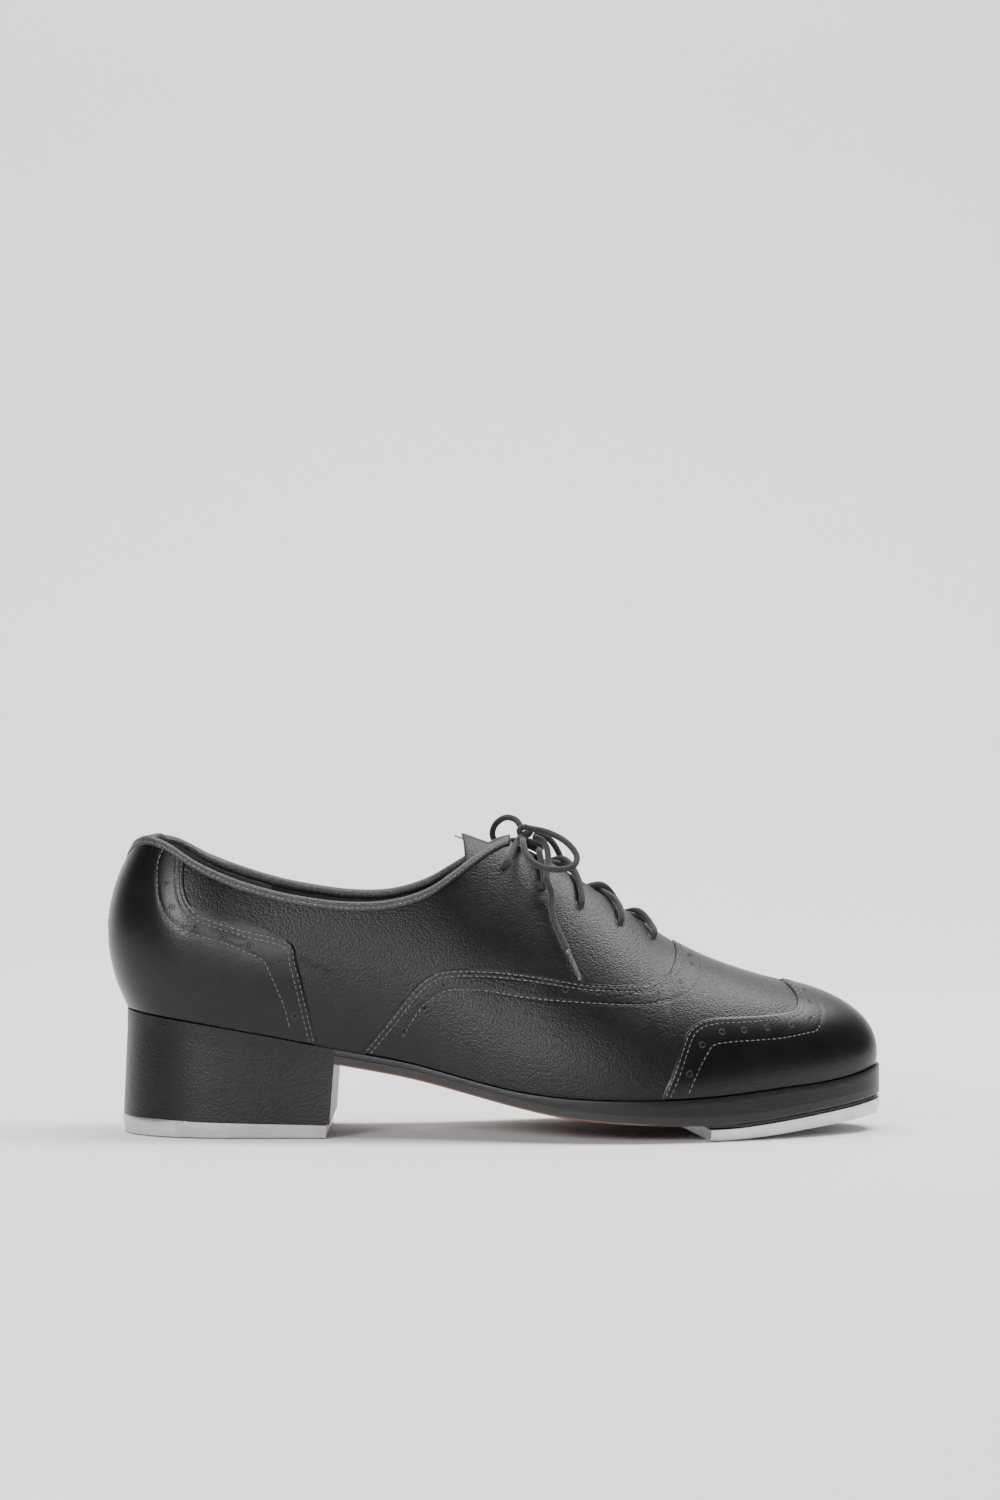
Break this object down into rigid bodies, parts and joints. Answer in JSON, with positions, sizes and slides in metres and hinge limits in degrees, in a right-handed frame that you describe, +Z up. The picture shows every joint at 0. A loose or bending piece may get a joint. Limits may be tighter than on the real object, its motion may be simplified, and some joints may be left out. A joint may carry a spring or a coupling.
{
  "type": "tap shoe",
  "caption": "Oxford tap shoe with winged toe cap, laced facings, block heel, full sole, and metal toe and heel taps screwed under it.",
  "frame": {"origin": "on the ground, under the middle of the shoe", "axes": "+X from heel to toe, +Y across to the inner (medial) side of this right shoe, +Z up"},
  "size_m": [0.2801, 0.1014, 0.1138],
  "materials": {
    "upper_leather": "satin black",
    "lining": "matt dark grey",
    "board": "raw fibre board",
    "sole": "black edge dressing",
    "heel": "black leather cover",
    "tap": "brushed",
    "steel": "plain",
    "lace": "braided black",
    "aglet": "dark clear film",
    "tag": "grey printed patch"
  },
  "bodies": {
    "rear_shoe": {"vamp": "upper_leather", "quarter_lateral": "upper_leather", "quarter_medial": "upper_leather", "heel_foxing": "upper_leather", "topline_binding": "upper_leather", "heel_counter": "board", "facing_stay_lateral": "lining", "facing_stay_medial": "lining", "vamp_lining": "lining", "quarter_lining": "lining", "heel_grip": "lining", "sock_liner": "lining", "insole_board": "board", "bottom_filler": "board", "shank": "steel", "welt": "sole", "midsole": "sole", "outsole": "sole", "heel_block": "heel", "heel_tap": "tap", "heel_nail_1": "steel", "heel_nail_2": "steel", "heel_nail_3": "steel", "heel_nail_4": "steel", "heel_nail_5": "steel", "heel_tap_screw_1": "steel", "heel_tap_screw_2": "steel", "heel_tap_screw_3": "steel", "lace": "lace", "bow_knot": "lace", "bow_loop_lateral": "lace", "bow_loop_medial": "lace", "lace_tail_lateral": "lace", "lace_tail_medial": "lace", "aglet_lateral": "aglet", "aglet_medial": "aglet"},
    "forefoot": {"toe_cap": "upper_leather", "toe_puff": "board", "toe_soundboard": "board", "toe_tap": "tap", "toe_tap_screw_1": "steel", "toe_tap_screw_2": "steel", "toe_tap_screw_3": "steel"},
    "tongue": {"tongue": "upper_leather", "tongue_tag": "tag"}
  },
  "joints": [
    {"name": "toe_flex", "type": "hinge", "parent": "rear_shoe", "child": "forefoot", "pos_m": [0.047, 0, 0.012], "axis": [0, -1, 0], "range_deg": [0, 18], "stiffness_Nm_per_rad": 9, "deforming": ["vamp", "vamp_lining", "welt", "midsole", "outsole", "insole_board", "sock_liner", "bottom_filler"]},
    {"name": "tongue_tilt", "type": "hinge", "parent": "rear_shoe", "child": "tongue", "pos_m": [0.066, 0, 0.061], "axis": [0, -1, 0], "range_deg": [0, 10], "stiffness_Nm_per_rad": 0.25}
  ]
}
